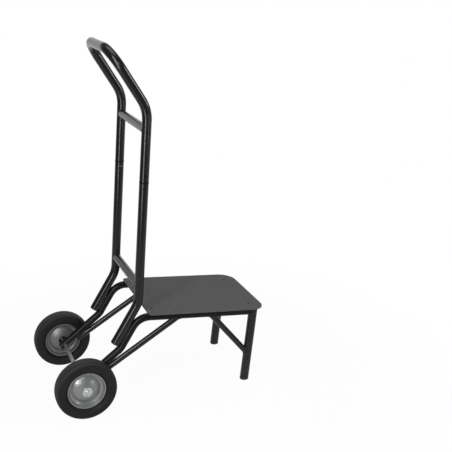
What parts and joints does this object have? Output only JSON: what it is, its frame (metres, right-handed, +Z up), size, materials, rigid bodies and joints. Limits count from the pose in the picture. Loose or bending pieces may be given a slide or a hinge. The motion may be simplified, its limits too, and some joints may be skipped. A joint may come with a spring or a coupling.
{
  "type": "stacking chair trolley",
  "caption": "Tubular hand trolley with a raked plug-in handle loop, a low round-cornered platform, braced legs and pressed-hub wheels, for moving a stack of chairs.",
  "frame": {"origin": "on the floor, under the middle of the trolley's length and width", "axes": "+X forward from the wheels to the platform's free edge, +Y to the user's left, +Z up"},
  "size_m": [0.9446, 0.54, 1.4911],
  "materials": {
    "black_coat": "semi-gloss powder coat",
    "platform_grey": "matte",
    "black_screw": "satin",
    "black_rubber": "matte",
    "tyre_black": "satin",
    "hub_grey": "semi-gloss",
    "zinc": "zinc plated"
  },
  "bodies": {
    "frame": {"handle_loop": "black_coat", "upper_crossbar": "black_coat", "left_upright": "black_coat", "right_upright": "black_coat", "lower_crossbar": "black_coat", "left_side_rail": "black_coat", "right_side_rail": "black_coat", "left_front_leg": "black_coat", "right_front_leg": "black_coat", "left_leg_brace": "black_coat", "right_leg_brace": "black_coat", "left_axle_brace": "black_coat", "right_axle_brace": "black_coat", "front_cross_member": "black_coat", "rear_cross_member": "black_coat", "platform": "platform_grey", "platform_screws": "black_screw", "left_foot_cap": "black_rubber", "right_foot_cap": "black_rubber", "left_upright_plug": "black_rubber", "right_upright_plug": "black_rubber", "left_rail_plug": "black_rubber", "right_rail_plug": "black_rubber", "axle": "zinc", "left_axle_spacer": "zinc", "right_axle_spacer": "zinc", "left_inner_washer": "zinc", "right_inner_washer": "zinc", "left_outer_washer": "zinc", "right_outer_washer": "zinc", "left_cotter_pin": "zinc", "right_cotter_pin": "zinc", "left_button_spring": "zinc", "right_button_spring": "zinc"},
    "left_wheel": {"left_tyre": "tyre_black", "left_outer_hub_disc": "hub_grey", "left_inner_hub_disc": "hub_grey", "left_hub_sleeve": "zinc"},
    "right_wheel": {"right_tyre": "tyre_black", "right_outer_hub_disc": "hub_grey", "right_inner_hub_disc": "hub_grey", "right_hub_sleeve": "zinc"},
    "left_button": {"left_snap_button": "black_screw"},
    "right_button": {"right_snap_button": "black_screw"}
  },
  "joints": [
    {"name": "left_wheel_spin", "type": "hinge", "parent": "frame", "child": "left_wheel", "pos_m": [-0.34528, 0.234, 0.127], "axis": [0, 1, 0], "continuous": true},
    {"name": "right_wheel_spin", "type": "hinge", "parent": "frame", "child": "right_wheel", "pos_m": [-0.34528, -0.234, 0.127], "axis": [0, 1, 0], "continuous": true},
    {"name": "left_button_press", "type": "slide", "parent": "frame", "child": "left_button", "axis": [0, 1, 0], "range_m": [0, 0.005], "stiffness_N_per_m": 1500, "deforming": ["left_button_spring"]},
    {"name": "right_button_press", "type": "slide", "parent": "frame", "child": "right_button", "axis": [0, -1, 0], "range_m": [0, 0.005], "stiffness_N_per_m": 1500, "deforming": ["right_button_spring"]}
  ]
}
